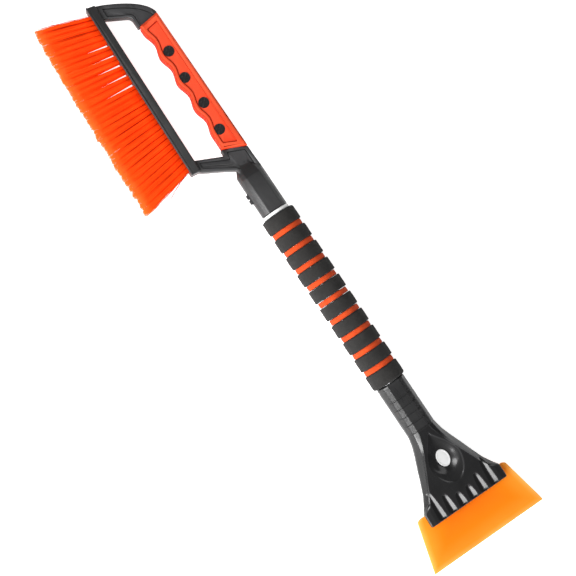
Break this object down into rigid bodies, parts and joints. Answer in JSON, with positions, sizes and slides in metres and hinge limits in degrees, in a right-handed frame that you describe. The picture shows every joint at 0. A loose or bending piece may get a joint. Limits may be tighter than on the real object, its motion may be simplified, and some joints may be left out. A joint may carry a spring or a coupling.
{
  "type": "snow brush scraper",
  "caption": "Hand-held snow brush with a D-shaped grip and fanned bristles, a foam-covered shaft and an ice scraper blade; the brush head unlocks and slides off.",
  "frame": {"origin": "middle of the whole object's box in X and Y, at the height of its lowest point, the blade's edge", "axes": "+X along the shaft towards the brush head, +Y towards the bristle tips, +Z out of the front face"},
  "size_m": [0.6949, 0.1818, 0.044],
  "materials": {
    "black_plastic": "fine moulded texture",
    "grip_rubber": "soft satin",
    "stud_rubber": "knurled matte",
    "bristle": "fine filaments",
    "black_foam": "matte closed-cell foam",
    "orange_foam": "matte closed-cell foam",
    "blade_plastic": "translucent gloss",
    "white_plastic": "smooth satin",
    "tube_metal": "drawn tube",
    "steel": "zinc plated"
  },
  "bodies": {
    "scraper_handle": {"handle_tube": "tube_metal", "tube_plug": "black_plastic", "stop_collar": "white_plastic", "scraper_body": "black_plastic", "scraper_blade": "blade_plastic", "blade_screw_1": "steel", "blade_screw_2": "steel", "badge": "white_plastic", "lock_spring": "steel", "foam_ring_black_01": "black_foam", "foam_ring_black_02": "black_foam", "foam_ring_black_03": "black_foam", "foam_ring_black_04": "black_foam", "foam_ring_black_05": "black_foam", "foam_ring_black_06": "black_foam", "foam_ring_black_07": "black_foam", "foam_ring_black_08": "black_foam", "foam_ring_black_09": "black_foam", "foam_ring_black_10": "black_foam", "foam_ring_orange_01": "orange_foam", "foam_ring_orange_02": "orange_foam", "foam_ring_orange_03": "orange_foam", "foam_ring_orange_04": "orange_foam", "foam_ring_orange_05": "orange_foam", "foam_ring_orange_06": "orange_foam", "foam_ring_orange_07": "orange_foam", "foam_ring_orange_08": "orange_foam", "foam_ring_orange_09": "orange_foam"},
    "brush_head": {"brush_frame": "black_plastic", "grip_sleeve": "grip_rubber", "grip_stud_front_1": "stud_rubber", "grip_stud_front_2": "stud_rubber", "grip_stud_front_3": "stud_rubber", "grip_stud_front_4": "stud_rubber", "grip_stud_back_1": "stud_rubber", "grip_stud_back_2": "stud_rubber", "grip_stud_back_3": "stud_rubber", "grip_stud_back_4": "stud_rubber", "bristle_tuft_01": "bristle", "bristle_tuft_02": "bristle", "bristle_tuft_03": "bristle", "bristle_tuft_04": "bristle", "bristle_tuft_05": "bristle", "bristle_tuft_06": "bristle", "bristle_tuft_07": "bristle", "bristle_tuft_08": "bristle", "bristle_tuft_09": "bristle", "bristle_tuft_10": "bristle", "bristle_tuft_11": "bristle", "bristle_tuft_12": "bristle", "bristle_tuft_13": "bristle", "bristle_tuft_14": "bristle", "bristle_tuft_15": "bristle", "bristle_tuft_16": "bristle"},
    "release_button": {"release_button": "black_plastic"},
    "lock_pin": {"lock_pin": "steel"}
  },
  "joints": [
    {"name": "brush_head_slide", "type": "slide", "parent": "scraper_handle", "child": "brush_head", "axis": [1, 0, 0], "range_m": [0, 0.06]},
    {"name": "release_button_press", "type": "slide", "parent": "brush_head", "child": "release_button", "axis": [0, -1, 0], "range_m": [0, 0.0022], "stiffness_N_per_m": 300},
    {"name": "lock_pin_press", "type": "slide", "parent": "scraper_handle", "child": "lock_pin", "axis": [0, -1, 0], "range_m": [0, 0.0022], "stiffness_N_per_m": 700, "deforming": ["lock_spring"]}
  ],
  "couplings": [
    {"joint": "lock_pin_press", "follows": "release_button_press", "ratio": 1}
  ]
}
